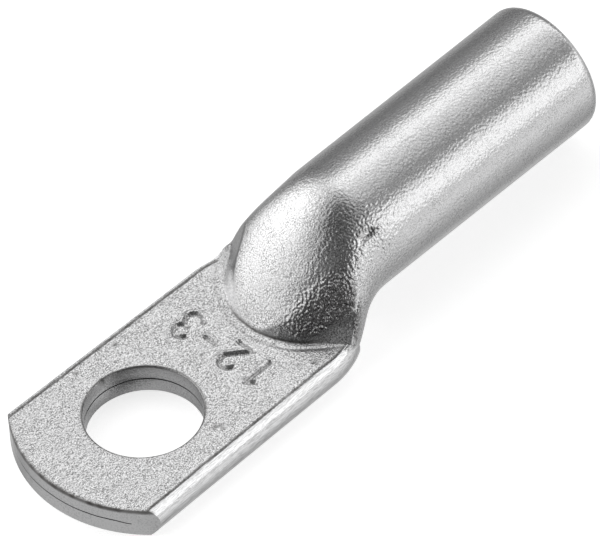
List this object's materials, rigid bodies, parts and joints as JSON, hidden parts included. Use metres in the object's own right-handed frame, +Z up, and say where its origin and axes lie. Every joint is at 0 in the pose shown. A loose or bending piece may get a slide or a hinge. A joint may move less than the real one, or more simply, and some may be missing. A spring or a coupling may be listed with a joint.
{
  "type": "tubular cable lug",
  "caption": "Straight tubular cable lug: a plated copper tube with a round crimp barrel at one end, pressed flat at the other into a palm punched for a bolt.",
  "frame": {"origin": "axis of the stud hole where it meets the palm's underside", "axes": "+X along the barrel towards its open mouth, +Z up out of the stud hole, away from the seating face, +Y across the palm"},
  "size_m": [0.0383, 0.0114, 0.0077],
  "materials": {
    "tin_plate": "satin tin plating over copper, fine speckle, bare cut faces of the same grey"
  },
  "bodies": {
    "root": {"cable_lug": "tin_plate"}
  },
  "joints": []
}
